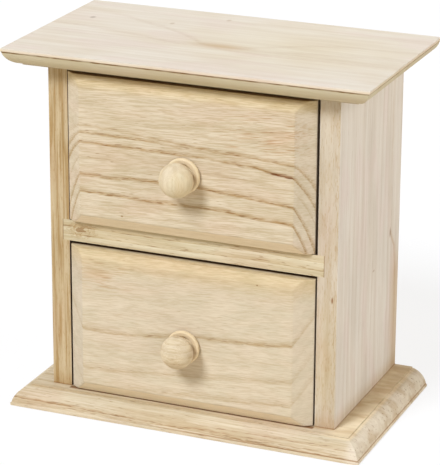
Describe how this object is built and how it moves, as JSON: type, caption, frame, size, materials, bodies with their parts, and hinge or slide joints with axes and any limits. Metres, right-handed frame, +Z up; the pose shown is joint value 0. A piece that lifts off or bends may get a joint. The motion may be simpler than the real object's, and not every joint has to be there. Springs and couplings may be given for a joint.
{
  "type": "mini drawer cabinet",
  "caption": "Small tabletop chest in bare pale wood: moulded top and base boards, stacked drawers with raised bevelled fronts and turned ball knobs, for keeping small things",
  "frame": {"origin": "middle of the base board's underside, the face the cabinet stands on", "axes": "+Z up, the drawers face and open towards -Y, +X to the right as seen from the front"},
  "size_m": [0.1818, 0.1112, 0.1795],
  "materials": {
    "board_wood": "bare, sanded",
    "panel_wood": "bare, sanded",
    "front_wood": "bare, sanded",
    "box_wood": "bare, planed",
    "knob_wood": "bare, turned and sanded",
    "dowel_wood": "bare",
    "plywood": "bare plywood",
    "screw_steel": "zinc plated",
    "pin_steel": "bright"
  },
  "bodies": {
    "carcass": {"top_board": "board_wood", "base_board": "board_wood", "left_side_panel": "panel_wood", "right_side_panel": "panel_wood", "divider_shelf": "panel_wood", "back_panel": "plywood", "top_dowels": "dowel_wood", "base_screws": "screw_steel", "back_panel_pins": "pin_steel"},
    "upper_drawer": {"upper_drawer_front": "front_wood", "upper_drawer_left_side": "box_wood", "upper_drawer_right_side": "box_wood", "upper_drawer_back": "box_wood", "upper_drawer_bottom": "plywood", "upper_drawer_knob": "knob_wood", "upper_drawer_knob_screw": "screw_steel", "upper_drawer_pins": "pin_steel"},
    "lower_drawer": {"lower_drawer_front": "front_wood", "lower_drawer_left_side": "box_wood", "lower_drawer_right_side": "box_wood", "lower_drawer_back": "box_wood", "lower_drawer_bottom": "plywood", "lower_drawer_knob": "knob_wood", "lower_drawer_knob_screw": "screw_steel", "lower_drawer_pins": "pin_steel"}
  },
  "joints": [
    {"name": "upper_drawer_slide", "type": "slide", "parent": "carcass", "child": "upper_drawer", "axis": [0, -1, 0], "range_m": [0, 0.075]},
    {"name": "lower_drawer_slide", "type": "slide", "parent": "carcass", "child": "lower_drawer", "axis": [0, -1, 0], "range_m": [0, 0.075]}
  ]
}
